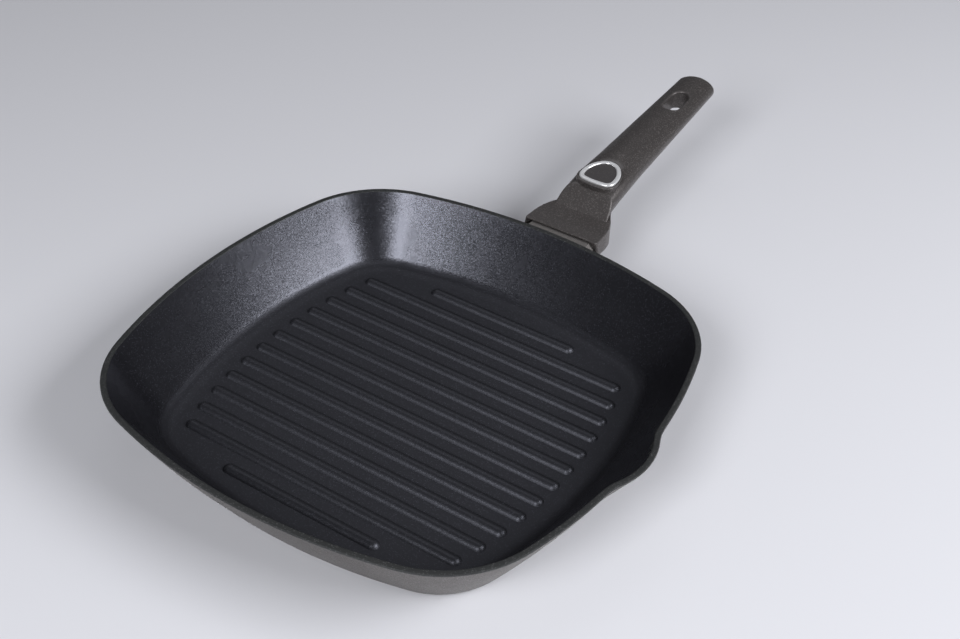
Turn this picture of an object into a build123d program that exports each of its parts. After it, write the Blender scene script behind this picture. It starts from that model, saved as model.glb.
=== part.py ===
from build123d import *
import math
import os

# Square grill pan with a lift-off handle, in millimetres. X runs from the middle of the pan along
# the handle, Z is up, and the origin is the middle of the underside. Places on the lug and on
# the handle are measured along X from the rim, and their heights from the underside of the lug.

# Pan outline at the rim
rim_half = 140.0  # middle of the pan to the middle of a side
side_radius = 316.0  # bulge of each side
corner_radius = 64.0
rim_height = 43.7
rim_width = 3.8
rim_round = 0.9

# Pan wall and floor
wall_run = 27.0  # the outer wall runs in this far on its way down
wall_bow = 0.9  # and bulges out this much half way
bow_shares = (0.25, 0.5)  # down the wall, where the bulge is set out
base_corner_ease = 3.0  # how much rounder the corners are at the underside
base_round = 9.0
floor_height = 5.3
floor_run = 25.7  # the inner wall runs in this far
foot_round = 13.0
round_steps = 5
rim_steps = 3

# Pouring lip in the -Y side
lip_place = -3.0
lip_reach = 5.6
lip_radius = 45.0
lip_blend = 30.0
lip_foot_height = 11.5

# Ribs across the floor
rib_count = 12
rib_field_inset = 61.4  # rim to the outermost long ribs
rib_height = 2.3
rib_width = 7.4
rib_end_inset = 40.6  # rim to the ends of the long ribs
short_rib_inset = 47.1  # rim to the short rib outside them
short_rib_share = 0.35  # half length of a short rib, as a share of the rim's half width

# Cast lug that carries the handle
lug_drop = 21.9  # rim to the underside of the lug
lug_root_depth = 18.0  # inside the wall
lug_neck = 6.0  # where the flared root ends
lug_shoulder = 20.0  # where the lug steps down to its tongue
lug_tip = 44.0
lug_half_width = 23.2
lug_height = 10.9
tongue_half_width = 15.5
tongue_height = 8.5
lug_edge = 3.2
lug_flare = 5.0
lug_tip_round = 4.0

# Latch notch in the underside of the tongue
notch_place = 34.0
notch_length = 5.0
notch_half_width = 5.6
notch_depth = 2.6

# Fits
slide_gap = 0.3
mouth_gap = 0.9
button_gap = 0.35
cover_gap = 0.2
screw_gap = 0.05
overrun = 4.0
pick_reach = 1.0  # how far from its expected place an edge may lie

# Sheet steel sleeve moulded into the handle's head
sleeve_wall = 1.0
sleeve_start = 21.5
sleeve_window_margin = 0.8
socket_end = 45.0

# Handle head
head_front = 16.2
head_top = 12.8
head_bottom = -7.7
head_keel_half = 17.5
head_flank_rise = 9.5  # the flank climbs this much over the next length
head_flank_run = 7.5
head_corner = 1.4
head_keel_end = 47.5
head_end = 64.0
head_end_bottom = 11.3
head_keel_round = 4.0
head_shares = (0.0, 0.14, 0.28, 0.39, 0.5, 0.58, 0.69, 1.0)  # along the head
head_halves = (25.0, 24.6, 24.1, 22.9, 21.2, 19.2, 16.3, 9.5)
flare_halves = (28.4, 27.4, 25.8, 23.8, 21.5, 19.3, 16.4, 9.5)
platform_length = 23.8
riser_run = 12.0
riser_rise = 11.9
shell_round = 0.8

# Handle grip stations, from the head to the tip
neck_place = 34.0
neck_half = 23.2
neck_middle = 12.6
neck_top = 22.2
neck_bottom = -1.3
throat_place = 48.0
throat_half = 17.2
throat_middle = 17.2
throat_top = 24.5
throat_bottom = 4.7
waist_place = 64.0
waist_half = 16.8
waist_middle = 20.6
waist_top = 27.5
waist_bottom = 10.6
grip_place = 88.0
grip_half = 15.7
grip_middle = 23.2
grip_top = 31.9
grip_bottom = 13.6
end_place = 179.0
end_half = 13.3
end_middle = 31.7
end_top = 37.7
end_bottom = 24.7
tip_place = 197.0
tip_corner = 8.0
tip_bow = 34.0
tip_clear = 1.2  # the corner arcs run out through the grip's sides
tip_round = 3.0
straight_share = 0.2  # from here on the grip tapers straight to its tip
past_share = 1.25
head_shoulder_share = 0.86  # of a section's rise, in the arc beside it
grip_shoulder_share = 0.62
belly_share = 0.75

# Hanging slot
slot_place = 161.0
slot_length = 23.5
slot_width = 11.0
slot_round = 1.2

# Release button
button_place = 65.1
button_height = 28.5
button_rise = 2.2  # climb of the button's face over its own length
button_length = 24.8
button_half_width = 12.3
button_corner = 5.5
button_nose = 9.5
button_front_bow = 50.0
button_side_bow = 20.0
collar_width = 0.8
collar_shift = 1.2  # the collar is wider toward the pan
collar_depth = 9.0
collar_round = 0.6
ring_width = 2.2
ring_proud = 0.9
ring_depth = 2.6
ring_bevel = 0.6
cap_proud = 0.25
stem_half_length = 6.0
stem_half_width = 5.0
tab_reach = 1.6
tab_half_width = 5.5
tab_thickness = 1.6

# Leaf spring latch
leaf_thickness = 0.9
leaf_half_width = 5.0
leaf_front = 21.0
leaf_ramp_start = 47.0
leaf_ramp_end = 60.0
leaf_flat_height = 15.1  # underside of the leaf at the top of its ramp
leaf_back = 112.0
leaf_climb = 6.2  # climb of the rear part over its own length
leaf_bend = 2.0
leaf_ramp_share = 0.55
tooth_length = 4.0
tooth_height = 3.5
tooth_half_width = 4.6

# Bays inside the handle
leaf_bay_front = 19.5
leaf_bay_drop = 5.9  # below the underside of the lug
bay_front = 50.3
bay_step = 86.0
bay_half_width = 9.0
bay_ceiling_drop = 6.6  # button face to the ceiling of the bay
bay_margin = 1.2  # free room round the leaf
bay_under_margin = 2.2

# Underside cover
cover_front = 64.0
cover_back = 124.0
cover_half_width = 10.4
cover_thickness = 2.4
cover_line_height = 10.9  # outer face of the cover at its front end
cover_climb = 7.2  # climb of the cover over its own length
cover_corner = 2.0
cover_ledge = 2.0  # how far the bay stops short of the cover's front end

# Screws
slot_share = 0.28
recess_share = 0.62
latch_screw_places = (97.0, 106.0)
latch_screw_half_shank = 1.25
latch_screw_length = 7.0
latch_head_half = 2.4
latch_head_height = 1.5
cover_screw_place = 119.0
cover_screw_side = 5.4
cover_screw_half_shank = 1.2
cover_screw_length = 8.0
cover_head_half = 2.2
cover_head_height = 1.2


def turned(point, quarter):
    """A flat point turned by quarter turns about the origin."""
    x, y = point
    for _ in range(quarter):
        x, y = -y, x
    return (x, y)


def toward(start, goal, distance):
    """The point at a distance from start on the way to goal."""
    run = math.hypot(goal[0] - start[0], goal[1] - start[1])
    return (
        start[0] + (goal[0] - start[0]) * distance / run,
        start[1] + (goal[1] - start[1]) * distance / run,
    )


def between(a, b, share=0.5):
    """The point at a share of the way from a to b."""
    return tuple(p + (q - p) * share for p, q in zip(a, b))


def hub_between(a, b, reach_a, reach_b):
    """The point at one distance from a and another from b, to the left of the way from a to b."""
    span = math.dist(a, b)
    along = (reach_a**2 - reach_b**2 + span**2) / (2 * span)
    across = math.sqrt(reach_a**2 - along**2)
    foot = toward(a, b, along)
    ux = (b[0] - a[0]) / span
    uy = (b[1] - a[1]) / span
    return (foot[0] - across * uy, foot[1] + across * ux)


def round_off(before, corner, after, radius, steps):
    """Points along the arc that rounds the corner of a line through three points."""
    arms = [math.atan2(end[1] - corner[1], end[0] - corner[0]) for end in (before, after)]
    half_angle = abs(math.remainder(arms[1] - arms[0], math.tau)) / 2
    start = toward(corner, before, radius / math.tan(half_angle))
    finish = toward(corner, after, radius / math.tan(half_angle))
    hub = toward(corner, between(start, finish), radius / math.sin(half_angle))
    first = math.atan2(start[1] - hub[1], start[0] - hub[0])
    sweep = math.remainder(math.atan2(finish[1] - hub[1], finish[0] - hub[0]) - first, math.tau)
    angles = [first + sweep * step / steps for step in range(steps + 1)]
    return [(hub[0] + radius * math.cos(a), hub[1] + radius * math.sin(a)) for a in angles]


def corner_middle(half, side, corner):
    """Distance along each axis to the middle of a corner arc that meets both sides."""
    reach = side - half
    gap = side - corner
    return (math.sqrt(2 * gap**2 - reach**2) - reach) / 2


def lip_middles():
    """Middles of the side, lip and blend arcs, on a side that faces +X."""
    side_middle = (rim_half - side_radius, 0)
    edge = side_middle[0] + math.sqrt(side_radius**2 - lip_place**2)
    lip_middle = (edge + lip_reach - lip_radius, lip_place)
    side_reach = side_radius + lip_blend
    lip_span = lip_radius + lip_blend
    upper = hub_between(side_middle, lip_middle, side_reach, lip_span)
    lower = hub_between(lip_middle, side_middle, lip_span, side_reach)
    return side_middle, lip_middle, (lower, upper)


def side_arcs(inset, start, finish, lip_share):
    """Arcs of the side with the lip, facing +X, from its -Y end to its +Y end."""
    side_middle, lip_middle, blends = lip_middles()
    radius = side_radius - inset
    marks = [start]
    for blend in blends:
        near_side = toward(side_middle, blend, radius)
        near_lip = toward(lip_middle, blend, lip_radius - inset)
        pair = [(near_side, near_side), (toward(side_middle, near_lip, radius), near_lip)]
        marks += pair if blend[1] < lip_middle[1] else reversed(pair)
    marks = [start] + [between(plain, bent, lip_share) for plain, bent in marks[1:]] + [finish]
    hubs = [
        (side_middle, radius),
        (blends[0], lip_blend + inset),
        (lip_middle, lip_radius - inset),
        (blends[1], lip_blend + inset),
        (side_middle, radius),
    ]
    arcs = []
    for a, b, (hub, reach) in zip(marks, marks[1:], hubs):
        chord = between(a, b)
        plain = toward(side_middle, chord, radius)
        bent = toward(hub, chord, reach)
        arcs.append((a, between(plain, bent, lip_share), b))
    return arcs


def outline(inset, height, corner_ease=0.0, lip_share=0.0):
    """The pan's outline set in from the rim, as a face at a height."""
    half = rim_half - inset
    radius = side_radius - inset
    corner = corner_radius - inset + corner_ease
    middle = corner_middle(half, radius, corner)
    finish = toward((half - radius, 0), (middle, middle), radius)
    start = (finish[0], -finish[1])
    bow = toward((middle, middle), (half, half), corner)
    arcs = []
    for quarter in range(4):
        side = [(start, (half, 0), finish)]
        if quarter == 3:
            side = side_arcs(inset, start, finish, lip_share)
        side.append((finish, bow, (finish[1], finish[0])))
        arcs += [[turned(point, quarter) for point in arc] for arc in side]
    return Pos(0, 0, height) * make_face([ThreePointArc(*arc) for arc in arcs])


def wall_profile(edge, run, foot_height, foot_radius, rim_side):
    """Insets and heights down a wall, from the rounded rim edge to its rounded foot."""
    top = (edge, rim_height)
    foot = (edge + run, foot_height)
    points = round_off((rim_side, rim_height), top, foot, rim_round, rim_steps)
    for share in bow_shares:
        inset, height = between(top, foot, share)
        points.append((inset - 4 * wall_bow * share * (1 - share), height))
    floor_side = (foot[0] + run, foot_height)
    return points + round_off(points[-1], foot, floor_side, foot_radius, round_steps)


def wall_block(profile, corner_ease):
    """A block that fills the pan's outline along a wall profile, with the pouring lip."""
    sections = []
    for inset, height in profile:
        fall = (rim_height - height) / rim_height
        lip_share = (height - lip_foot_height) / (rim_height - lip_foot_height)
        sections.append(outline(inset, height, corner_ease * fall, max(0.0, lip_share)))
    return loft(sections, ruled=True)


def rib_half_length(place):
    """Half length of a long rib, which ends on a line parallel to the rim."""
    half = rim_half - rib_end_inset
    radius = side_radius - rib_end_inset
    corner = corner_radius - rib_end_inset
    middle = corner_middle(half, radius, corner)
    if abs(place) > middle:
        return middle + math.sqrt(corner**2 - (abs(place) - middle) ** 2)
    return half - radius + math.sqrt(radius**2 - place**2)


def rib(place, half_length):
    """A round bar with round ends, sunk into the floor so that a low rib stands out of it."""
    radius = ((rib_width / 2) ** 2 + rib_height**2) / (2 * rib_height)
    reach = half_length - rib_width / 2
    bar = Rot(90, 0, 0) * Cylinder(radius, 2 * reach)
    for sign in (-1, 1):
        bar = bar + Pos(0, sign * reach, 0) * Sphere(radius)
    return Pos(place, 0, floor_height + rib_height - radius) * bar


def lug_section(half_width, height, grow=0.0):
    """The lug's cross-section on the YZ plane, grown all round."""
    high = height + grow
    wide = half_width + grow
    cut = lug_edge + grow * (2 - math.sqrt(2))
    points = [
        (wide - cut, -grow),
        (wide, cut - grow),
        (wide, high - cut),
        (wide - cut, high),
    ]
    points += [(-y, z) for y, z in reversed(points)]
    return make_face(Polyline(*points, close=True))


def across(place):
    """The YZ plane at a place along the handle, with Y to the right."""
    return Plane(origin=(place, 0, 0), x_dir=(0, 1, 0), z_dir=(1, 0, 0))


def lug_bar(start, end, grow=0.0):
    """A bar of the lug's full section between two places."""
    return extrude(across(start) * lug_section(lug_half_width, lug_height, grow), end - start)


def tongue_bar(start, end, grow=0.0):
    """A bar of the tongue's section between two places."""
    return extrude(across(start) * lug_section(tongue_half_width, tongue_height, grow), end - start)


def rounded_tip(bar):
    """The bar with the upright edges of its far end rounded."""
    return fillet(bar.edges().filter_by(Axis.Z).group_by(Axis.X)[-1], lug_tip_round)


def side_plate(points, half_width):
    """A plate cut to an outline of (x, z) points, centred on the handle's middle plane."""
    face = make_face(Polyline(*points, close=True))
    return extrude(Plane.XZ * face, half_width, both=True)


def lug():
    """The cast bracket with its flared root, its tongue and the latch notch below."""
    bar = rounded_tip(lug_bar(lug_neck - overrun, lug_shoulder))
    tongue = rounded_tip(tongue_bar(lug_neck, lug_tip))
    inward = Plane(origin=(lug_neck, 0, 0), x_dir=(0, -1, 0), z_dir=(-1, 0, 0))
    run = lug_neck + lug_root_depth
    flare = math.degrees(math.atan(lug_flare / run))
    root = extrude(inward * lug_section(lug_half_width, lug_height), run, taper=-flare)
    notch = Pos(notch_place, 0, 0) * Box(notch_length, 2 * notch_half_width, 2 * notch_depth)
    return bar + tongue + root - notch


def pan_body():
    """The casting: bowed walls, ribbed floor, pouring lip and handle lug."""
    outer = wall_profile(0, wall_run, 0, base_round, rim_width)
    inner = wall_profile(rim_width, floor_run, floor_height, foot_round, 0)
    reach = rim_half - rib_field_inset
    places = [reach * (2 * number / (rib_count - 1) - 1) for number in range(rib_count)]
    ribs = [rib(place, rib_half_length(place)) for place in places]
    short_place = rim_half - short_rib_inset
    ribs += [rib(sign * short_place, rim_half * short_rib_share) for sign in (-1, 1)]
    bowl = wall_block(inner, 0) - ribs
    return wall_block(outer, base_corner_ease) + handle_seat() * lug() - bowl


def handle_seat():
    """Where the lug and the handle are measured from."""
    return Pos(rim_half, 0, rim_height - lug_drop)


def oval(place, half, middle, top, bottom, shoulder_share):
    """A handle cross-section of six arcs, widest at the middle height."""
    arcs = []
    for sign, rise, share in ((1, top - middle, shoulder_share), (-1, middle - bottom, belly_share)):
        side = rise * share
        crown = ((half - side) ** 2 + rise**2 - side**2) / (2 * (rise - side))
        hub = (half - side, middle)
        joint = toward((0, middle + sign * (rise - crown)), hub, crown)
        bow = toward(hub, between((half, middle), joint), side)
        arcs.append(ThreePointArc((half, middle), bow, joint))
        arcs.append(ThreePointArc(joint, (0, middle + sign * rise), (-joint[0], joint[1])))
        arcs.append(ThreePointArc((-joint[0], joint[1]), (-bow[0], bow[1]), (-half, middle)))
    return across(place) * make_face(arcs)


def grip_solid():
    """The outside of the grip, lofted from the neck past the tip."""
    neck = (neck_half, neck_middle, neck_top, neck_bottom)
    throat = (throat_half, throat_middle, throat_top, throat_bottom)
    waist = (waist_half, waist_middle, waist_top, waist_bottom)
    near = (grip_half, grip_middle, grip_top, grip_bottom)
    far = (end_half, end_middle, end_top, end_bottom)
    sections = [
        oval(neck_place, *neck, head_shoulder_share),
        oval(throat_place, *throat, head_shoulder_share),
        oval(waist_place, *waist, head_shoulder_share),
    ]
    for share in (0, straight_share / 2, straight_share, past_share):
        place = grip_place + share * (end_place - grip_place)
        sections.append(oval(place, *between(near, far, share), grip_shoulder_share))
    return loft(sections[:-1]) + loft(sections[-2:], ruled=True)


def tip_solid():
    """A block whose far end is bowed in plan with round corners, to trim the grip's tip."""
    wide = end_half + overrun
    past = (tip_place - end_place) / (end_place - grip_place)
    side = end_half + past * (end_half - grip_half) + tip_clear
    hub = tip_place - tip_bow
    corner = (
        hub + math.sqrt((tip_bow - tip_corner) ** 2 - (side - tip_corner) ** 2),
        side - tip_corner,
    )
    leave = toward((hub, 0), corner, tip_bow)
    middle = toward(corner, ((leave[0] + corner[0]) / 2, side), tip_corner)
    far_side = (corner[0], side)
    near_side = (corner[0], -side)
    face = make_face(
        [
            ThreePointArc(near_side, (middle[0], -middle[1]), (leave[0], -leave[1])),
            ThreePointArc((leave[0], -leave[1]), (tip_place, 0), leave),
            ThreePointArc(leave, middle, far_side),
            Polyline(
                far_side,
                (end_place, wide),
                (head_front, 2 * neck_half),
                (head_front, -2 * neck_half),
                (end_place, -wide),
                near_side,
            ),
        ]
    )
    return extrude(face, 2 * end_top, both=True)


def riser_x(height):
    """Where the sloping facet behind the platform passes a height."""
    return head_front + platform_length + (height - head_top) * riser_run / riser_rise


def head_plan(halves, height):
    """The head's outline in plan at a height."""
    places = [head_front + share * (head_end - head_front) for share in head_shares]
    curve = list(zip(places, halves))
    mirrored = [(x, -y) for x, y in reversed(curve)]
    edges = [
        Line(mirrored[-1], curve[0]),
        Spline(*curve),
        Line(curve[-1], mirrored[0]),
        Spline(*mirrored),
    ]
    return Pos(0, 0, height) * make_face(edges)


def head_solid():
    """The boat-shaped head: flared sides, sloping flanks and a keel that rises to the rear."""
    block = loft([head_plan(flare_halves, head_bottom), head_plan(head_halves, head_top)], ruled=True)
    spread = 2 * head_flank_run
    climb = 2 * head_flank_rise
    hull = [
        (head_keel_half, head_bottom),
        (head_keel_half + spread, head_bottom + climb),
        (head_keel_half + spread, head_top + climb),
    ]
    hull += [(-y, z) for y, z in reversed(hull)]
    hull_face = across(head_front) * make_face(Polyline(*hull, close=True))
    profile = [
        (head_front, head_bottom),
        (head_keel_end, head_bottom),
        (head_end, head_end_bottom),
        (head_end, head_top),
        (head_front, head_top),
    ]
    head = block & extrude(hull_face, head_end - head_front) & side_plate(profile, 2 * head_halves[0])
    platform_end = head_front + platform_length
    keel = head.edges().filter_by(
        lambda e: e.center().Z < head_bottom + pick_reach and e.center().X > head_front + pick_reach
    )
    head = fillet(keel, head_keel_round)
    chines = head.edges().filter_by(
        lambda e: e.length > platform_length
        and e.center().X < platform_end
        and head_bottom + head_keel_round < e.center().Z < head_top - pick_reach
    )
    head = fillet(chines, head_keel_round)
    corners = head.edges().filter_by(
        lambda e: e.center().X < head_front + pick_reach
        and abs(e.center().Y) > head_keel_half + head_flank_run / 2
        and e.center().Z > head_bottom + head_flank_rise
        and e.length > pick_reach
    )
    head = fillet(corners, head_corner)
    rims = head.edges().filter_by(
        lambda e: e.center().X < head_front + head_corner
        or (e.center().Z > head_top - pick_reach and e.center().X < head_end - pick_reach)
    )
    return fillet(rims, shell_round)


def button_plane(depth=0.0):
    """The plane of the button's face, its normal up, sunk by a depth."""
    face = Plane(
        origin=(button_place, 0, button_height),
        x_dir=(button_length, 0, button_rise),
        z_dir=(-button_rise, 0, button_length),
    )
    return face.offset(-depth)


def pick(grow=0.0, shift=0.0):
    """Rounded three-cornered outline, flat side toward the pan, grown all round."""
    side = button_half_width - button_corner
    front_reach = button_front_bow - button_corner
    front = button_front_bow - button_length / 2 - math.sqrt(front_reach**2 - side**2)
    tips = [
        ((front, side), button_corner),
        ((front, -side), button_corner),
        ((button_length / 2 - button_nose, 0), button_nose),
    ]
    bows = (button_front_bow, button_side_bow, button_side_bow)
    hubs = []
    for number, bow in enumerate(bows):
        (a, from_a), (b, from_b) = tips[number], tips[(number + 1) % 3]
        hubs.append(hub_between(a, b, bow - from_a, bow - from_b))
    edges = []
    for number, bow in enumerate(bows):
        (a, radius), (b, _) = tips[number], tips[(number + 1) % 3]
        before = toward(hubs[number - 1], a, bows[number - 1] + grow)
        leave = toward(hubs[number], a, bow + grow)
        arrive = toward(hubs[number], b, bow + grow)
        edges.append((before, toward(a, between(before, leave), radius + grow), leave))
        edges.append((leave, toward(hubs[number], between(leave, arrive), bow + grow), arrive))
    return make_face([ThreePointArc(*[(x + shift, y) for x, y in edge]) for edge in edges])


def pick_prism(grow, top, bottom, shift=0.0):
    """A block of the button's outline between two depths below its face."""
    return extrude(button_plane(bottom) * pick(grow, shift), bottom - top)


def leaf_line(rise):
    """Points of the leaf's line, lifted square to its rear part, front to back."""
    low = rise - leaf_top_drop() - leaf_thickness
    return [
        (leaf_front, low),
        (leaf_ramp_start, low),
        (leaf_ramp_end, leaf_flat_height + rise),
        (leaf_back, leaf_flat_height + leaf_climb + rise),
    ]


def leaf_top_drop():
    """How far the front part of the leaf lies below the lug: the sleeve and two gaps."""
    return slide_gap + sleeve_wall + slide_gap


def leaf_top(place):
    """Height of the upper face of the leaf's rear part."""
    share = (place - leaf_ramp_end) / (leaf_back - leaf_ramp_end)
    return leaf_flat_height + leaf_thickness + leaf_climb * share


def cover_line(place):
    """Height of the cover's outer line."""
    share = (place - cover_front) / (cover_back - cover_front)
    return cover_line_height + cover_climb * share


def latch_plane(place):
    """A plane on the leaf's upper face, its normal pointing down through the leaf."""
    run = leaf_back - leaf_ramp_end
    return Plane(
        origin=(place, 0, leaf_top(place)), x_dir=(run, 0, leaf_climb), z_dir=(leaf_climb, 0, -run)
    )


def cover_plane(place, side):
    """A plane on the cover's outer line, its normal pointing up into the handle."""
    run = cover_back - cover_front
    return Plane(
        origin=(place, side, cover_line(place)),
        x_dir=(run, 0, cover_climb),
        z_dir=(-cover_climb, 0, run),
    )


def pin(plane, radius, start, end):
    """A round bar along a plane's normal between two distances."""
    return extrude(plane.offset(start) * Circle(radius), end - start)


def latch_holes(grow):
    """The shanks of the latch screws, grown, going up from the leaf."""
    shank = latch_screw_half_shank + grow
    length = latch_screw_length + grow
    return [pin(latch_plane(x), shank, -length, leaf_thickness + grow) for x in latch_screw_places]


def cover_holes(grow):
    """The shanks of the cover screws, grown."""
    shank = cover_screw_half_shank + grow
    start = cover_head_height - grow
    end = cover_head_height + cover_screw_length + grow
    sides = (-cover_screw_side, cover_screw_side)
    return [pin(cover_plane(cover_screw_place, side), shank, start, end) for side in sides]


def screw(plane, head_radius, head_height, shank_radius, length, seat):
    """A pan-head screw that goes up from a seat, with a cross recess in its head."""
    head = pin(plane, head_radius, seat - head_height, seat)
    shank = pin(plane, shank_radius, seat, seat + length)
    bar = Box(2 * head_radius * recess_share, head_radius * slot_share, head_height)
    recess = bar + Rot(0, 0, 90) * bar
    return head + shank - plane.offset(seat - head_height) * recess


def cover_slab(grow, lowest):
    """A tilted slab along the cover line, grown at its edges."""
    front = cover_front - grow
    back = cover_back + grow
    points = [
        (front, cover_line(front) - lowest),
        (back, cover_line(back) - lowest),
        (back, cover_line(back) + cover_thickness),
        (front, cover_line(front) + cover_thickness),
    ]
    slab = side_plate(points, cover_half_width + grow)
    return fillet(slab.edges().filter_by(Axis.Z), cover_corner + grow)


def leaf_bay():
    """Room for the front part of the leaf and its ramp."""
    half_width = leaf_half_width + bay_margin
    ceiling = slide_gap - leaf_top_drop() + sleeve_wall
    ramp_shift = 2 * bay_margin
    step = leaf_ramp_end + bay_under_margin
    rear_ceiling = leaf_top(leaf_ramp_end) + bay_margin
    return side_plate(
        [
            (leaf_bay_front, -leaf_bay_drop),
            (leaf_ramp_start, -leaf_bay_drop),
            (step, leaf_flat_height - bay_under_margin),
            (step, rear_ceiling),
            (leaf_ramp_end - ramp_shift, rear_ceiling),
            (leaf_ramp_start - ramp_shift, ceiling),
            (leaf_bay_front, ceiling),
        ],
        half_width,
    )


def button_bay():
    """Room under the button, open to the cover."""
    face = button_plane(bay_ceiling_drop)
    slope = button_rise / button_length
    front_ceiling = face.origin.Z + (bay_front - face.origin.X) * slope
    rear_ceiling = face.origin.Z + (bay_step - face.origin.X) * slope
    ledge = cover_front + cover_ledge
    return side_plate(
        [
            (bay_front, leaf_top(leaf_ramp_end) - bay_under_margin),
            (bay_front, front_ceiling),
            (bay_step, rear_ceiling),
            (bay_step, cover_line(bay_step)),
            (ledge, cover_line(ledge)),
            (ledge, leaf_flat_height - bay_under_margin),
        ],
        bay_half_width,
    )


def rear_bay():
    """Room for the rear part of the leaf and its screws."""
    front = bay_step - bay_margin
    back = leaf_back + bay_margin
    return side_plate(
        [
            (front, leaf_top(front)),
            (back, leaf_top(back)),
            (back, cover_line(back)),
            (front, cover_line(front)),
        ],
        leaf_half_width + bay_margin,
    )


def hollows():
    """Everything hollowed out of the shell for the lug, the latch and the button."""
    return [
        lug_bar(head_front - overrun, sleeve_start, mouth_gap),
        tongue_bar(head_front, socket_end, slide_gap + sleeve_wall),
        leaf_bay(),
        button_bay(),
        rear_bay(),
        pick_prism(button_gap, -overrun, bay_ceiling_drop + bay_margin),
        cover_slab(cover_gap, overrun),
        latch_holes(screw_gap),
        cover_holes(screw_gap),
    ]


def grip_cut():
    """The grip with its round tip, hanging slot and sloping front facet."""
    grip = grip_solid() & tip_solid()
    tip_edges = grip.edges().filter_by(lambda e: e.center().X > tip_place - tip_corner - pick_reach)
    grip = fillet(tip_edges, tip_round)
    grip = grip - extrude(Pos(slot_place, 0) * SlotOverall(slot_length, slot_width), 2 * end_top)
    reach = slot_length / 2 + slot_round
    mouths = grip.edges().filter_by(
        lambda e: abs(e.center().X - slot_place) < reach
        and abs(e.center().Y) < slot_width / 2 + slot_round
        and e.geom_type != GeomType.LINE
    )
    grip = fillet(mouths, slot_round)
    above = 2 * end_top
    wedge = side_plate(
        [
            (head_front, head_top),
            (head_front + platform_length, head_top),
            (riser_x(above), above),
            (head_front, above),
        ],
        2 * neck_half,
    )
    grip = grip - wedge
    brink = grip.edges().filter_by(
        lambda e: abs(e.center().X - riser_x(e.center().Z)) < shell_round
        and e.center().Z > head_top - pick_reach
        and e.geom_type != GeomType.LINE
    )
    return fillet(brink, shell_round)


def handle_shell():
    """The moulded handle with its socket, bays, collar and hanging slot."""
    collar = pick_prism(button_gap + collar_width, 0, collar_depth, -collar_shift)
    collar = fillet(collar.faces().sort_by(Axis.Z)[-1].edges(), collar_round)
    shell = grip_cut() + head_solid() + collar
    for hollow in hollows():
        shell = shell - hollow
    return shell


def latch_screws():
    """The two screws that hold the leaf up against the shell."""
    solids = []
    for place in latch_screw_places:
        plane = latch_plane(place)
        up = Plane(origin=plane.origin, x_dir=plane.x_dir, z_dir=-plane.z_dir)
        solids.append(
            screw(
                up,
                latch_head_half,
                latch_head_height,
                latch_screw_half_shank,
                latch_screw_length + leaf_thickness,
                -leaf_thickness,
            )
        )
    return Compound(children=solids)


def cover_screws():
    """The two screws at the rear of the cover."""
    solids = [
        screw(
            cover_plane(cover_screw_place, side),
            cover_head_half,
            cover_head_height,
            cover_screw_half_shank,
            cover_screw_length,
            cover_head_height,
        )
        for side in (-cover_screw_side, cover_screw_side)
    ]
    return Compound(children=solids)


def underside_cover():
    """The snap-in plate that closes the bays, flush with the belly of the grip."""
    plate = cover_slab(0, overrun) & grip_solid()
    for side in (-cover_screw_side, cover_screw_side):
        plane = cover_plane(cover_screw_place, side)
        plate = plate - pin(plane, cover_head_half + screw_gap, -overrun, cover_head_height)
    return plate - cover_holes(screw_gap)


def socket_sleeve():
    """The sheet sleeve round the lug, with a window for the latch tooth."""
    tube = tongue_bar(sleeve_start, socket_end, slide_gap + sleeve_wall)
    hollow = tongue_bar(sleeve_start - overrun, socket_end, slide_gap)
    margin = sleeve_window_margin
    window = Pos(notch_place, 0, 0) * Box(
        tooth_length + 2 * margin, 2 * tooth_half_width + 2 * margin, 2 * overrun
    )
    return tube - hollow - window


def latch_spring():
    """The bent leaf with the tooth that drops out of the lug's notch."""
    lower = leaf_line(0)
    upper = leaf_line(leaf_thickness)
    shift = leaf_thickness * leaf_ramp_share
    upper[1] = (upper[1][0] - shift, upper[1][1])
    upper[2] = (upper[2][0] - shift, leaf_top(upper[2][0] - shift))
    leaf = side_plate(lower + upper[::-1], leaf_half_width)
    bends = leaf.edges().filter_by(Axis.Y).filter_by(
        lambda e: leaf_front + overrun < e.center().X < leaf_back - overrun
    )
    leaf = fillet(bends, leaf_bend)
    foot = upper[0][1]
    front = notch_place - tooth_length / 2
    back = notch_place + tooth_length / 2
    tooth = side_plate(
        [
            (front, foot - leaf_thickness / 2),
            (back, foot - leaf_thickness / 2),
            (back, foot + tooth_height / 3),
            (notch_place, foot + tooth_height),
            (front, foot + tooth_height),
        ],
        tooth_half_width,
    )
    return leaf + tooth - latch_holes(screw_gap)


def button_ring():
    """The bright ring round the button."""
    band = pick_prism(0, -ring_proud, ring_depth)
    band = band - pick_prism(-ring_width, -overrun, ring_depth + overrun)
    return chamfer(band.faces().sort_by(Axis.Z)[-1].edges(), ring_bevel)


def button_cap():
    """The insert in the middle of the button."""
    return pick_prism(-ring_width, -cap_proud, ring_depth)


def button_carrier():
    """The moulded body under the button, with its stem and retaining tabs."""
    body = pick_prism(0, ring_depth, bay_ceiling_drop)
    tab_top = bay_ceiling_drop + slide_gap
    depth = tab_top + tab_thickness
    skirt = pick_prism(-ring_width / 2, bay_ceiling_drop, depth) & (
        button_plane(depth) * Box(2 * button_length, 2 * (bay_half_width - slide_gap), 4 * depth)
    )
    tabs = button_plane((tab_top + depth) / 2) * Box(
        button_length + 2 * tab_reach, 2 * tab_half_width, tab_thickness
    )
    stem_top = button_height - depth
    stem_low = leaf_top(button_place + stem_half_length) + slide_gap
    stem = Pos(button_place, 0, (stem_top + stem_low) / 2 + slide_gap) * Box(
        2 * stem_half_length, 2 * stem_half_width, stem_top - stem_low + 2 * slide_gap
    )
    return body + skirt + tabs + stem


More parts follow.
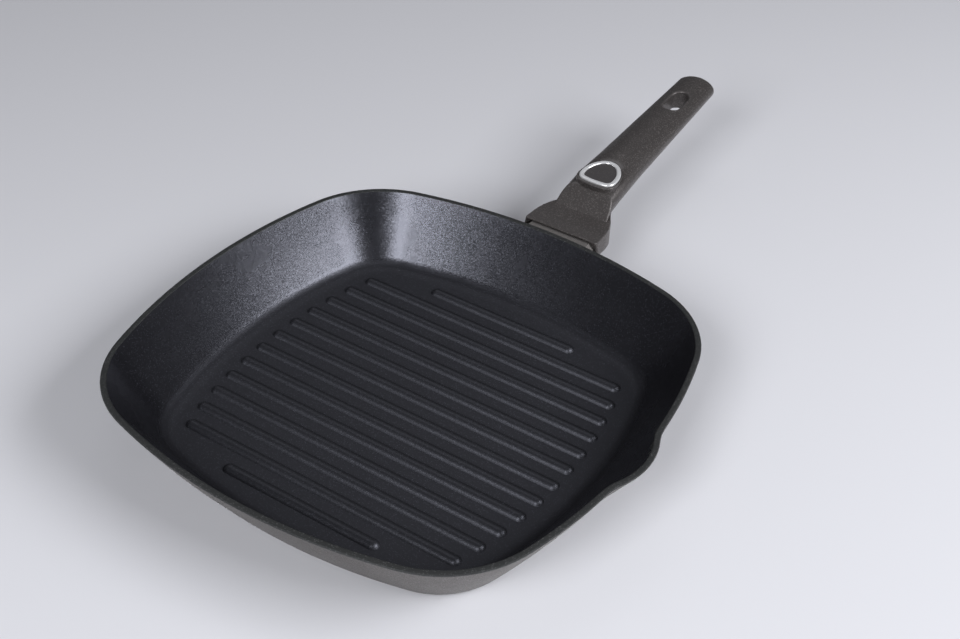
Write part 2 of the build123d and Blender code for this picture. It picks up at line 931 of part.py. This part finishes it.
def build():
    os.makedirs("parts", exist_ok=True)
    nodes = {
        "pan_body": pan_body(),
        "handle_shell": handle_seat() * handle_shell(),
        "socket_sleeve": handle_seat() * socket_sleeve(),
        "latch_spring": handle_seat() * latch_spring(),
        "latch_screws": handle_seat() * latch_screws(),
        "underside_cover": handle_seat() * underside_cover(),
        "cover_screws": handle_seat() * cover_screws(),
        "button_carrier": handle_seat() * button_carrier(),
        "button_ring": handle_seat() * button_ring(),
        "button_cap": handle_seat() * button_cap(),
    }
    for name, solid in nodes.items():
        export_step(solid, f"parts/{name}.step")
        print(name, solid.is_valid, round(solid.volume), len(solid.solids()), len(solid.faces()))


build()
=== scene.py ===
import math

import bpy
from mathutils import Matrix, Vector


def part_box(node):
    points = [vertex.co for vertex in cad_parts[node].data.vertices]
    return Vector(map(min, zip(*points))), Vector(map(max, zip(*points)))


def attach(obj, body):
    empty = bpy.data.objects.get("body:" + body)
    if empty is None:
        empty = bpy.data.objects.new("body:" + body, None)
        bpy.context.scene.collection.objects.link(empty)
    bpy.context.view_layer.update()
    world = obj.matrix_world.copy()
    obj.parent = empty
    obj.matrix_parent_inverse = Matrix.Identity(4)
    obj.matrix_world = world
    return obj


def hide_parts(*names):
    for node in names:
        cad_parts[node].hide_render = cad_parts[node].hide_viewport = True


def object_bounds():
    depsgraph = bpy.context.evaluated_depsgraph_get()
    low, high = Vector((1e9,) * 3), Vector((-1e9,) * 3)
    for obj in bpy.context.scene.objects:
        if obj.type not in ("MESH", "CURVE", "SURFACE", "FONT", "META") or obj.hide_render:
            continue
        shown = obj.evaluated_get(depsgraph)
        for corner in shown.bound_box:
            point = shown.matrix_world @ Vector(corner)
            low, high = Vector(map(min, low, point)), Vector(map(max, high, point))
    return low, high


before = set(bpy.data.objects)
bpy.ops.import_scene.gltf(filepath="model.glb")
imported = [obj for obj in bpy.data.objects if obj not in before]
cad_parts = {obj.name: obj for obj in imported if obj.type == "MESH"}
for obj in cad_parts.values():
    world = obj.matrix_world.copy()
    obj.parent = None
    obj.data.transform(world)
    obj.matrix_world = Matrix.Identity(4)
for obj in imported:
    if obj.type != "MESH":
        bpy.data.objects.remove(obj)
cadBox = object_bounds()
bpy.ops.object.select_all(action="DESELECT")


# Shared effects, each a node group placed in several finishes

def newGroup(name, inputs, outputs):
    group = bpy.data.node_groups.new(name, "ShaderNodeTree")
    for label, value in inputs:
        socket = group.interface.new_socket(label, in_out="INPUT", socket_type="NodeSocketFloat")
        socket.default_value = value
    for label, kind in outputs:
        group.interface.new_socket(label, in_out="OUTPUT", socket_type=kind)
    return group, group.nodes.new("NodeGroupInput"), group.nodes.new("NodeGroupOutput")


def addNode(tree, kind, links=None, **values):
    # a node with its sockets set, and linked from the named outputs
    node = tree.nodes.new(kind)
    for label, value in values.items():
        setattr(node, label, value)
    for label, source in (links or {}).items():
        if hasattr(source, "is_output"):
            tree.links.new(source, node.inputs[label])
        else:
            node.inputs[label].default_value = source
    return node


def mixColour(tree, share, first, second):
    # one colour turning into another by a mask; each is a socket or three numbers
    mix = tree.nodes.new("ShaderNodeMix")
    mix.data_type = "RGBA"
    tree.links.new(share, mix.inputs[0])
    for number, colour in ((6, first), (7, second)):
        if hasattr(colour, "is_output"):
            tree.links.new(colour, mix.inputs[number])
        else:
            mix.inputs[number].default_value = (*colour, 1)
    return mix.outputs[2]


flakeForm = {"middleTone": (0.5, 0.5, 0.5), "driftDetail": 3.0, "driftRoughness": 0.55}


def flakeGroup():
    # tiny bright flakes scattered in a coating, and the sheen that drifts over it
    group, given, result = newGroup(
        "flakes",
        [("Scale", 1500.0), ("Share", 0.06), ("Tilt", 0.3), ("Drift scale", 9.0)],
        [("Flakes", "NodeSocketFloat"), ("Normal", "NodeSocketVector"), ("Drift", "NodeSocketFloat")],
    )
    place = addNode(group, "ShaderNodeTexCoord").outputs["Object"]
    cells = addNode(group, "ShaderNodeTexVoronoi", {"Vector": place, "Scale": given.outputs["Scale"]})
    tone = addNode(group, "ShaderNodeSeparateColor", {"Color": cells.outputs["Color"]})
    cut = addNode(group, "ShaderNodeMath", {0: 1.0, 1: given.outputs["Share"]}, operation="SUBTRACT")
    lit = addNode(
        group, "ShaderNodeMath", {0: tone.outputs["Red"], 1: cut.outputs[0]}, operation="GREATER_THAN"
    )
    group.links.new(lit.outputs[0], result.inputs["Flakes"])
    # each flake lies at its own small tilt
    lean = addNode(
        group,
        "ShaderNodeVectorMath",
        {0: cells.outputs["Color"], 1: flakeForm["middleTone"]},
        operation="SUBTRACT",
    )
    tilt = addNode(
        group, "ShaderNodeVectorMath", {0: lean.outputs[0], "Scale": given.outputs["Tilt"]}, operation="SCALE"
    )
    facing = addNode(group, "ShaderNodeNewGeometry").outputs["Normal"]
    tilted = addNode(group, "ShaderNodeVectorMath", {0: facing, 1: tilt.outputs[0]}, operation="ADD")
    even = addNode(group, "ShaderNodeVectorMath", {0: tilted.outputs[0]}, operation="NORMALIZE")
    group.links.new(even.outputs[0], result.inputs["Normal"])
    drift = addNode(
        group,
        "ShaderNodeTexNoise",
        {
            "Vector": place,
            "Scale": given.outputs["Drift scale"],
            "Detail": flakeForm["driftDetail"],
            "Roughness": flakeForm["driftRoughness"],
        },
    )
    group.links.new(drift.outputs["Fac"], result.inputs["Drift"])
    return group


grainForm = {"fineDetail": 2.0, "coarseDetail": 3.0}


def grainGroup():
    # the fine pebbled skin of a sprayed or moulded surface, as a height
    group, given, result = newGroup(
        "grain",
        [("Fine", 1700.0), ("Coarse", 420.0), ("Coarse share", 0.35)],
        [("Height", "NodeSocketFloat")],
    )
    place = addNode(group, "ShaderNodeTexCoord").outputs["Object"]
    fine = addNode(
        group,
        "ShaderNodeTexNoise",
        {"Vector": place, "Scale": given.outputs["Fine"], "Detail": grainForm["fineDetail"]},
    )
    coarse = addNode(
        group,
        "ShaderNodeTexNoise",
        {"Vector": place, "Scale": given.outputs["Coarse"], "Detail": grainForm["coarseDetail"]},
    )
    both = addNode(
        group,
        "ShaderNodeMix",
        {0: given.outputs["Coarse share"], 2: fine.outputs["Fac"], 3: coarse.outputs["Fac"]},
    )
    group.links.new(both.outputs[0], result.inputs["Height"])
    return group


wearAndHighlightForm = {
    "stretch": (0.5, 1.4, 1.0),
    "detail": 5.0,
    "roughness": 0.6,
    "smears": (0.35, 0.7),
    "edges": (0.5, 0.58),
}


def wearAndHighlightGroup():
    # handling marks: faint smears, and raised edges lightened as wear and as a painted highlight
    group, given, result = newGroup(
        "handlingAndHighlight",
        [("Smear scale", 30.0), ("Edge", 0.5)],
        [("Smear", "NodeSocketFloat"), ("Edge", "NodeSocketFloat")],
    )
    place = addNode(group, "ShaderNodeTexCoord").outputs["Object"]
    stretch = addNode(group, "ShaderNodeMapping", {"Vector": place, "Scale": wearAndHighlightForm["stretch"]})
    smear = addNode(
        group,
        "ShaderNodeTexNoise",
        {
            "Vector": stretch.outputs[0],
            "Scale": given.outputs["Smear scale"],
            "Detail": wearAndHighlightForm["detail"],
            "Roughness": wearAndHighlightForm["roughness"],
        },
    )
    faintest, strongest = wearAndHighlightForm["smears"]
    spread = addNode(
        group,
        "ShaderNodeMapRange",
        {"Value": smear.outputs["Fac"], "From Min": faintest, "From Max": strongest},
    )
    group.links.new(spread.outputs[0], result.inputs["Smear"])
    # convex edges found by pointiness are lightened, partly as wear and partly as a painted highlight
    point = addNode(group, "ShaderNodeNewGeometry").outputs["Pointiness"]
    level, sharp = wearAndHighlightForm["edges"]
    edge = addNode(
        group,
        "ShaderNodeMapRange",
        {"Value": point, "From Min": level, "From Max": sharp, "To Max": given.outputs["Edge"]},
    )
    group.links.new(edge.outputs[0], result.inputs["Edge"])
    return group


flakes = flakeGroup()
grain = grainGroup()
handlingAndHighlight = wearAndHighlightGroup()
print("shared effects made")


def useGroup(material, group, **values):
    node = addNode(material.node_tree, "ShaderNodeGroup", node_tree=group)
    for label, value in values.items():
        node.inputs[label.replace("_", " ")].default_value = value
    return node


skinCoarse = 0.25


def speckled(name, look):
    # a sprayed finish: base colour, bright flakes, drifting gloss, pebbled skin, and raised edges lightened
    # as wear and as a painted highlight
    material = bpy.data.materials.new(name)
    material.use_nodes = True
    tree = material.node_tree
    shader = tree.nodes["Principled BSDF"]
    shader.inputs["Metallic"].default_value = look["metallic"]
    shader.inputs["Specular IOR Level"].default_value = look["gloss"]
    shader.inputs["Specular Tint"].default_value = (*look["sheen"], 1)
    flake = useGroup(material, flakes, Scale=look["flakeScale"], Share=look["flakeShare"], Tilt=look["tilt"])
    skin = useGroup(material, grain, Fine=look["skinScale"], Coarse=look["skinScale"] * skinCoarse)
    marks = useGroup(material, handlingAndHighlight, Smear_scale=look["smearScale"], Edge=look["edge"])
    tint = mixColour(tree, flake.outputs["Drift"], look["dark"], look["light"])
    glint = mixColour(tree, flake.outputs["Flakes"], tint, look["flake"])
    # raised edges turn to a lighter colour: partly wear, partly a painted highlight
    rubbedAndHighlit = mixColour(tree, marks.outputs["Edge"], glint, look["rubbedAndHighlit"])
    tree.links.new(rubbedAndHighlit, shader.inputs["Base Color"])
    rough = addNode(
        tree,
        "ShaderNodeMapRange",
        {"Value": marks.outputs["Smear"], "To Min": look["rough"], "To Max": look["rough"] * look["smear"]},
    ).outputs[0]
    if "matt" in look:
        # the low ground of the piece is duller than its walls
        place = addNode(tree, "ShaderNodeTexCoord").outputs["Object"]
        rise = addNode(tree, "ShaderNodeSeparateXYZ", {0: place}).outputs["Z"]
        low, high = look["mattHeights"]
        ground = addNode(
            tree,
            "ShaderNodeMapRange",
            {"Value": rise, "From Min": low, "From Max": high, "To Min": look["matt"], "To Max": 0.0},
        )
        # and the ribs are less dull, so that light draws a thin line on them
        foot, crown = look["crestHeights"]
        crest = addNode(
            tree,
            "ShaderNodeMapRange",
            {"Value": rise, "From Min": foot, "From Max": crown, "To Min": 1.0, "To Max": look["crest"]},
        )
        dull = addNode(
            tree, "ShaderNodeMath", {0: ground.outputs[0], 1: crest.outputs[0]}, operation="MULTIPLY"
        )
        rough = addNode(tree, "ShaderNodeMath", {0: rough, 1: dull.outputs[0]}, operation="ADD").outputs[0]
    tree.links.new(rough, shader.inputs["Roughness"])
    bump = addNode(
        tree,
        "ShaderNodeBump",
        {
            "Height": skin.outputs["Height"],
            "Normal": flake.outputs["Normal"],
            "Strength": look["bump"],
            "Distance": look["bumpDepth"],
        },
    )
    tree.links.new(bump.outputs[0], shader.inputs["Normal"])
    return material


metalForm = {"lineScale": 600.0, "lineDetail": 4.0, "glossRange": (0.7, 1.4), "bumpDepth": 0.00002}


def bareMetal(name, look):
    # plated or plain metal: drawn lines in its gloss and faint blooms
    material = bpy.data.materials.new(name)
    material.use_nodes = True
    tree = material.node_tree
    shader = tree.nodes["Principled BSDF"]
    shader.inputs["Metallic"].default_value = look["metallic"]
    place = addNode(tree, "ShaderNodeTexCoord").outputs["Object"]
    drawn = addNode(tree, "ShaderNodeMapping", {"Vector": place, "Scale": look["lines"]})
    lines = addNode(
        tree,
        "ShaderNodeTexNoise",
        {"Vector": drawn.outputs[0], "Scale": metalForm["lineScale"], "Detail": metalForm["lineDetail"]},
    ).outputs["Fac"]
    marks = useGroup(material, handlingAndHighlight, Smear_scale=look["smearScale"])
    colour = mixColour(tree, marks.outputs["Smear"], look["light"], look["dark"])
    tree.links.new(colour, shader.inputs["Base Color"])
    shiny, dull = metalForm["glossRange"]
    rough = addNode(
        tree,
        "ShaderNodeMapRange",
        {"Value": lines, "To Min": look["rough"] * shiny, "To Max": look["rough"] * dull},
    )
    tree.links.new(rough.outputs[0], shader.inputs["Roughness"])
    bump = addNode(
        tree,
        "ShaderNodeBump",
        {"Height": lines, "Strength": look["bump"], "Distance": metalForm["bumpDepth"]},
    )
    tree.links.new(bump.outputs[0], shader.inputs["Normal"])
    return material


looks = {
    "coating": {
        "dark": (0.0046, 0.0044, 0.0054),
        "light": (0.0068, 0.0066, 0.0078),
        "flake": (0.034, 0.035, 0.043),
        "rubbedAndHighlit": (0.026, 0.027, 0.030),
        "sheen": (0.85, 0.87, 1.0),
        "flakeScale": 3000.0,
        "flakeShare": 0.05,
        "tilt": 0.12,
        "metallic": 0.0,
        "gloss": 0.85,
        "rough": 0.25,
        "matt": 0.29,
        "mattHeights": (0.0078, 0.0092),
        "crest": 0.5,
        "crestHeights": (0.0055, 0.0066),
        "smear": 1.15,
        "smearScale": 25.0,
        "edge": 0.5,
        "skinScale": 1300.0,
        "bump": 0.5,
        "bumpDepth": 0.00006,
    },
    # the rim is the inside coating made duller, and made lighter as painted light where its top catches the
    # light
    "rimCoatingPaintedLight": {
        "dark": (0.013, 0.0135, 0.0135),
        "light": (0.018, 0.0185, 0.0185),
        "flake": (0.07, 0.07, 0.07),
        "rubbedAndHighlit": (0.07, 0.07, 0.07),
        "sheen": (0.95, 1.0, 1.0),
        "flakeScale": 2400.0,
        "flakeShare": 0.08,
        "tilt": 0.2,
        "metallic": 0.0,
        "gloss": 0.45,
        "rough": 0.40,
        "smear": 1.15,
        "smearScale": 40.0,
        "edge": 0.5,
        "skinScale": 1800.0,
        "bump": 0.6,
        "bumpDepth": 0.00006,
    },
    "outerPaint": {
        "dark": (0.072, 0.067, 0.064),
        "light": (0.092, 0.086, 0.082),
        "flake": (0.17, 0.16, 0.154),
        "rubbedAndHighlit": (0.20, 0.19, 0.18),
        "sheen": (1.0, 0.97, 0.95),
        "flakeScale": 2400.0,
        "flakeShare": 0.16,
        "tilt": 0.16,
        "metallic": 0.55,
        "gloss": 0.5,
        "rough": 0.36,
        "smear": 1.15,
        "smearScale": 20.0,
        "edge": 0.6,
        "skinScale": 1600.0,
        "bump": 0.8,
        "bumpDepth": 0.00012,
    },
    # a lighter copy of the outside paint: painted light on the lug's top, which the handle's head would shade
    "lugPaintedLight": {
        "dark": (0.17, 0.158, 0.150),
        "light": (0.21, 0.197, 0.188),
        "flake": (0.32, 0.30, 0.29),
        "rubbedAndHighlit": (0.32, 0.30, 0.29),
        "sheen": (1.0, 0.97, 0.95),
        "flakeScale": 2400.0,
        "flakeShare": 0.16,
        "tilt": 0.16,
        "metallic": 0.5,
        "gloss": 0.5,
        "rough": 0.34,
        "smear": 1.15,
        "smearScale": 40.0,
        "edge": 0.6,
        "skinScale": 1600.0,
        "bump": 0.8,
        "bumpDepth": 0.00012,
    },
    "handlePaint": {
        "dark": (0.058, 0.052, 0.050),
        "light": (0.074, 0.067, 0.065),
        "flake": (0.14, 0.128, 0.124),
        "rubbedAndHighlit": (0.150, 0.142, 0.140),
        "sheen": (1.0, 0.96, 0.94),
        "flakeScale": 2200.0,
        "flakeShare": 0.16,
        "tilt": 0.12,
        "metallic": 0.35,
        "gloss": 0.6,
        "rough": 0.34,
        "smear": 1.1,
        "smearScale": 35.0,
        "edge": 0.8,
        "skinScale": 1600.0,
        "bump": 0.5,
        "bumpDepth": 0.00008,
    },
    "capPaint": {
        "dark": (0.036, 0.033, 0.033),
        "light": (0.044, 0.040, 0.041),
        "flake": (0.08, 0.074, 0.074),
        "rubbedAndHighlit": (0.09, 0.084, 0.084),
        "sheen": (1.0, 0.97, 0.98),
        "flakeScale": 2400.0,
        "flakeShare": 0.10,
        "tilt": 0.08,
        "metallic": 0.2,
        "gloss": 0.5,
        "rough": 0.40,
        "smear": 1.1,
        "smearScale": 60.0,
        "edge": 0.4,
        "skinScale": 1800.0,
        "bump": 0.4,
        "bumpDepth": 0.00006,
    },
    "carrierPlastic": {
        "dark": (0.014, 0.014, 0.014),
        "light": (0.020, 0.020, 0.020),
        "flake": (0.03, 0.03, 0.03),
        "rubbedAndHighlit": (0.05, 0.05, 0.05),
        "sheen": (1.0, 1.0, 1.0),
        "flakeScale": 2500.0,
        "flakeShare": 0.03,
        "tilt": 0.05,
        "metallic": 0.0,
        "gloss": 0.4,
        "rough": 0.5,
        "smear": 0.85,
        "smearScale": 60.0,
        "edge": 0.4,
        "skinScale": 1800.0,
        "bump": 0.4,
        "bumpDepth": 0.00004,
    },
}
metals = {
    # the plating is half metal and half diffuse white: the white is a painted reflection of the bright
    # surroundings
    "chromeWithPaintedReflection": {
        "light": (0.95, 0.95, 0.96),
        "dark": (0.90, 0.90, 0.91),
        "metallic": 0.5,
        "rough": 0.2,
        "lines": (1.0, 1.0, 1.0),
        "smearScale": 60.0,
        "bump": 0.02,
    },
    "springSteel": {
        "light": (0.45, 0.45, 0.46),
        "dark": (0.33, 0.33, 0.35),
        "metallic": 1.0,
        "rough": 0.30,
        "lines": (0.05, 1.0, 1.0),
        "smearScale": 40.0,
        "bump": 0.15,
    },
    "sheetSteel": {
        "light": (0.56, 0.56, 0.56),
        "dark": (0.44, 0.44, 0.45),
        "metallic": 1.0,
        "rough": 0.28,
        "lines": (0.04, 1.0, 1.0),
        "smearScale": 45.0,
        "bump": 0.15,
    },
    "zinc": {
        "light": (0.58, 0.58, 0.60),
        "dark": (0.46, 0.46, 0.46),
        "metallic": 1.0,
        "rough": 0.34,
        "lines": (1.0, 1.0, 0.3),
        "smearScale": 180.0,
        "bump": 0.2,
    },
}
coating = speckled("dark coating", looks["coating"])
rimCoatingPaintedLight = speckled("rim coating with painted light", looks["rimCoatingPaintedLight"])
outerPaint = speckled("outside paint", looks["outerPaint"])
lugPaintedLight = speckled("lug paint with painted light", looks["lugPaintedLight"])
handlePaint = speckled("handle paint", looks["handlePaint"])
capPaint = speckled("cap paint", looks["capPaint"])
carrierPlastic = speckled("carrier plastic", looks["carrierPlastic"])
chromeWithPaintedReflection = bareMetal("chromeWithPaintedReflection", metals["chromeWithPaintedReflection"])
springSteel = bareMetal("spring steel", metals["springSteel"])
sheetSteel = bareMetal("sheet steel", metals["sheetSteel"])
zinc = bareMetal("zinc", metals["zinc"])
print("finishes made")

finishes = {
    "handle_shell": handlePaint,
    "underside_cover": handlePaint,
    "button_cap": capPaint,
    "button_ring": chromeWithPaintedReflection,
    "button_carrier": carrierPlastic,
    "latch_spring": springSteel,
    "socket_sleeve": sheetSteel,
    "latch_screws": zinc,
    "cover_screws": zinc,
}
for name, finish in finishes.items():
    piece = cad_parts[name]
    piece.data.materials.clear()
    piece.data.materials.append(finish)
print("handle dressed")

# Pieces with rounded forms are shown by joined copies, so that the light runs smoothly over them
joining = {"weld": 0.00001, "crease": 34, "weight": 80}


def applied(piece, kind, **settings):
    # adds a modifier to a piece and applies it
    bpy.context.view_layer.objects.active = piece
    piece.select_set(True)
    bpy.ops.object.modifier_add(type=kind)
    modifier = piece.modifiers[-1]
    for label, value in settings.items():
        setattr(modifier, label, value)
    bpy.ops.object.modifier_apply(modifier=modifier.name)
    piece.select_set(False)


def evenShading(piece):
    # smooth over gentle turns, with flat faces kept flat
    bpy.context.view_layer.objects.active = piece
    piece.select_set(True)
    bpy.ops.object.shade_smooth_by_angle(angle=math.radians(joining["crease"]))
    applied(piece, "WEIGHTED_NORMAL", keep_sharp=True, weight=joining["weight"])


def joinedCopy(node, body, name):
    piece = bpy.data.objects.new(name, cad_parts[node].data.copy())
    bpy.context.scene.collection.objects.link(piece)
    bpy.context.view_layer.objects.active = piece
    piece.select_set(True)
    bpy.ops.object.mode_set(mode="EDIT")
    bpy.ops.mesh.select_all(action="SELECT")
    bpy.ops.mesh.remove_doubles(threshold=joining["weld"])
    bpy.ops.mesh.customdata_custom_splitnormals_clear()
    bpy.ops.object.mode_set(mode="OBJECT")
    piece.select_set(False)
    evenShading(piece)
    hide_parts(node)
    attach(piece, body)
    return piece


# The casting is coated inside and painted outside; its rim is duller, and rim and lug carry painted light
casting = {
    "coats": (coating, rimCoatingPaintedLight, outerPaint, lugPaintedLight),
    "up": 0.1,
    "flat": 0.8,
    "lugSide": 0.131,
    "lugTop": 0.034,
    "lugCrown": 0.038,
    "rimDepth": 0.0012,
}
pan = joinedCopy("pan_body", "pan", "coated_casting")
pan.data.materials.clear()
for finish in casting["coats"]:
    pan.data.materials.append(finish)
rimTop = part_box("pan_body")[1].z
coatNumber = casting["coats"].index
for face in pan.data.polygons:
    middle = face.center
    lugTop = casting["lugCrown"] if face.normal.z > casting["flat"] else casting["lugTop"]
    # the lug takes the lighter copy of the outside paint, as painted light
    if middle.x > casting["lugSide"] and middle.z < lugTop:
        face.material_index = coatNumber(lugPaintedLight)
    # the rim's faces take the lighter rim coating: painted light on its top
    elif middle.z > rimTop - casting["rimDepth"]:
        face.material_index = coatNumber(rimCoatingPaintedLight)
    elif face.normal.z < casting["up"]:
        face.material_index = coatNumber(outerPaint)
print("casting dressed")

# The ring is a plated bead: its inner side is drawn in over the cap's edge and its bevels are rounded
bead = {"draw": 0.92, "round": 0.0003, "steps": 3, "flat": 0.85}
ring = joinedCopy("button_ring", "button", "plated_ring")
low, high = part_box("button_ring")
middle = (low + high) / 2
bpy.context.view_layer.objects.active = ring
ring.select_set(True)
bpy.ops.object.mode_set(mode="EDIT")
bpy.ops.mesh.select_all(action="DESELECT")
bpy.ops.object.mode_set(mode="OBJECT")
for face in ring.data.polygons:
    face.select = (middle - face.center).dot(face.normal) > 0 and abs(face.normal.z) < bead["flat"]
bpy.ops.object.mode_set(mode="EDIT")
bpy.ops.transform.resize(value=(bead["draw"], bead["draw"], 1.0), center_override=middle)
bpy.ops.object.mode_set(mode="OBJECT")
ring.select_set(False)
applied(
    ring,
    "BEVEL",
    width=bead["round"],
    segments=bead["steps"],
    limit_method="ANGLE",
    angle_limit=math.radians(joining["crease"]),
)
ring.data.shade_smooth()
ring.data.materials.clear()
# its finish is half diffuse white, a painted reflection
ring.data.materials.append(chromeWithPaintedReflection)
print("ring dressed")

stage = {"size": 14.0, "colour": (0.76, 0.76, 0.79), "rough": 0.8}
bpy.ops.mesh.primitive_plane_add(size=stage["size"], location=(0, 0, cadBox[0].z))
floor = bpy.context.object
floor.name = "floor"
floorPaint = bpy.data.materials.new("pale floor")
floorPaint.use_nodes = True
floorShader = floorPaint.node_tree.nodes["Principled BSDF"]
floorShader.inputs["Base Color"].default_value = (*stage["colour"], 1)
floorShader.inputs["Roughness"].default_value = stage["rough"]
floor.data.materials.append(floorPaint)

sky = {"colour": (0.93, 0.94, 1.0), "strength": 0.11}
world = bpy.data.worlds.new("studio")
bpy.context.scene.world = world
world.use_nodes = True
world.node_tree.nodes["Background"].inputs["Color"].default_value = (*sky["colour"], 1)
world.node_tree.nodes["Background"].inputs["Strength"].default_value = sky["strength"]

# heading and height in degrees, seen from the middle of the pan
lights = {
    "right softbox": {"heading": -77, "height": 37, "reach": 1.6, "size": (1.1, 0.66), "power": 20.5},
    "left softbox": {"heading": 184, "height": 37, "reach": 1.6, "size": (0.66, 0.66), "power": 15.5},
    "back card": {"heading": 38, "height": 56, "reach": 2.0, "size": (1.2, 0.7), "power": 1.8},
}
tint = (0.96, 0.97, 1.0)
for name, light in lights.items():
    lamp = bpy.data.lights.new(name, "AREA")
    lamp.shape = "RECTANGLE"
    lamp.size, lamp.size_y = light["size"]
    lamp.energy = light["power"]
    lamp.color = tint
    holder = bpy.data.objects.new(name, lamp)
    bpy.context.scene.collection.objects.link(holder)
    heading, height = math.radians(light["heading"]), math.radians(light["height"])
    flat = light["reach"] * math.cos(height)
    holder.location = (flat * math.cos(heading), flat * math.sin(heading), light["reach"] * math.sin(height))
    holder.rotation_euler = (-holder.location).to_track_quat("-Z", "Y").to_euler()

view = {
    "place": (-0.4822, -0.3414, 0.5229),
    "turn": (52.229, -2.129, -56.596),
    "lens": 54.35,
    "sensor": 36,
    "nearest": 0.01,
}
camera = bpy.data.objects.new("camera", bpy.data.cameras.new("camera"))
bpy.context.scene.collection.objects.link(camera)
camera.data.lens = view["lens"]
camera.data.sensor_width = view["sensor"]
camera.data.clip_start = view["nearest"]
camera.location = view["place"]
camera.rotation_euler = [math.radians(angle) for angle in view["turn"]]
bpy.context.scene.camera = camera
bpy.context.scene.view_settings.view_transform = "Standard"
print("camera, floor and lights set")
